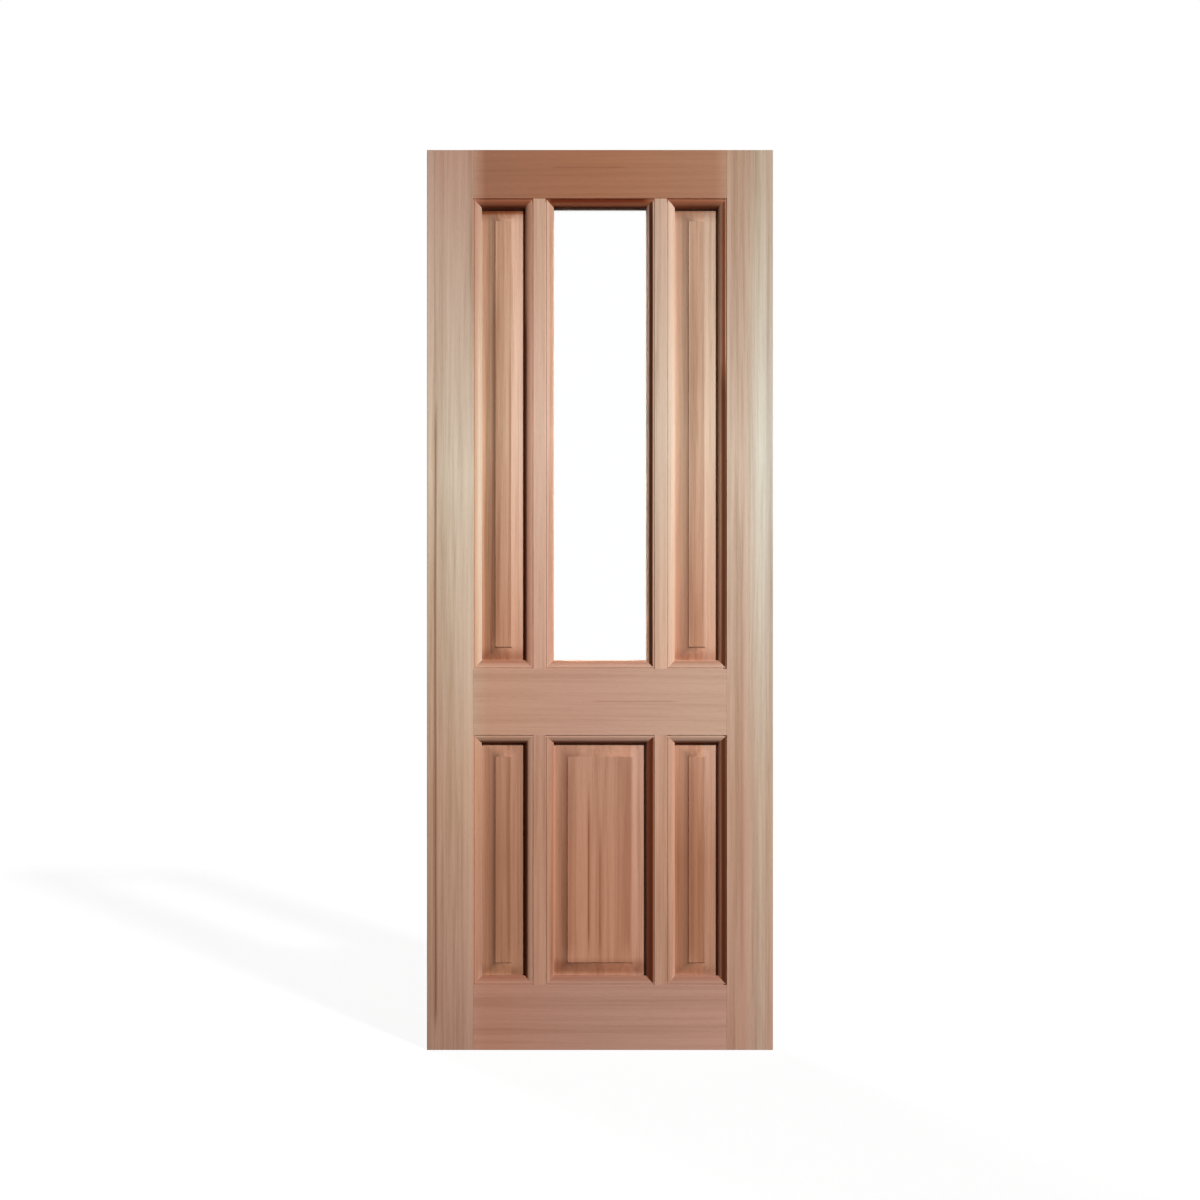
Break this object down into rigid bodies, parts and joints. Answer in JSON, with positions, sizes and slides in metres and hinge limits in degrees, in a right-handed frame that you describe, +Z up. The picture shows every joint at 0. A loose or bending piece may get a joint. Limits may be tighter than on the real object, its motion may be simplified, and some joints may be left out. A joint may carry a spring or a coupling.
{
  "type": "glazed panel door",
  "caption": "Hardwood door leaf with a clear glazed light between tall raised panels, and raised and fielded panels below a wide middle rail.",
  "frame": {"origin": "foot of the hinge edge, in the middle of the leaf's thickness", "axes": "+X across the leaf from the hinge edge to the lock edge, +Y from the front face to the back face, +Z up"},
  "size_m": [0.762, 0.044, 1.981],
  "materials": {
    "stile_wood": "satin hardwood, pale tan brown, straight grain",
    "rail_wood": "satin hardwood, pinkish brown, straight grain",
    "panel_wood": "satin hardwood, reddish brown, streaked grain",
    "bead_wood": "satin hardwood, reddish brown",
    "glass": "clear float glass",
    "spacer": "dull grey",
    "tape": "matt black"
  },
  "bodies": {
    "root": {"hinge_stile": "stile_wood", "lock_stile": "stile_wood", "hinge_stile_lipping": "stile_wood", "lock_stile_lipping": "stile_wood", "top_rail": "rail_wood", "middle_rail": "rail_wood", "bottom_rail": "rail_wood", "upper_left_muntin": "stile_wood", "upper_right_muntin": "stile_wood", "lower_left_muntin": "stile_wood", "lower_right_muntin": "stile_wood", "upper_left_panel": "panel_wood", "upper_right_panel": "panel_wood", "lower_left_panel": "panel_wood", "lower_centre_panel": "panel_wood", "lower_right_panel": "panel_wood", "front_glass_pane": "glass", "back_glass_pane": "glass", "glass_spacer": "spacer", "front_glazing_tape": "tape", "back_glazing_tape": "tape", "left_glazing_bead": "bead_wood", "right_glazing_bead": "bead_wood", "top_glazing_bead": "bead_wood", "bottom_glazing_bead": "bead_wood"}
  },
  "joints": []
}
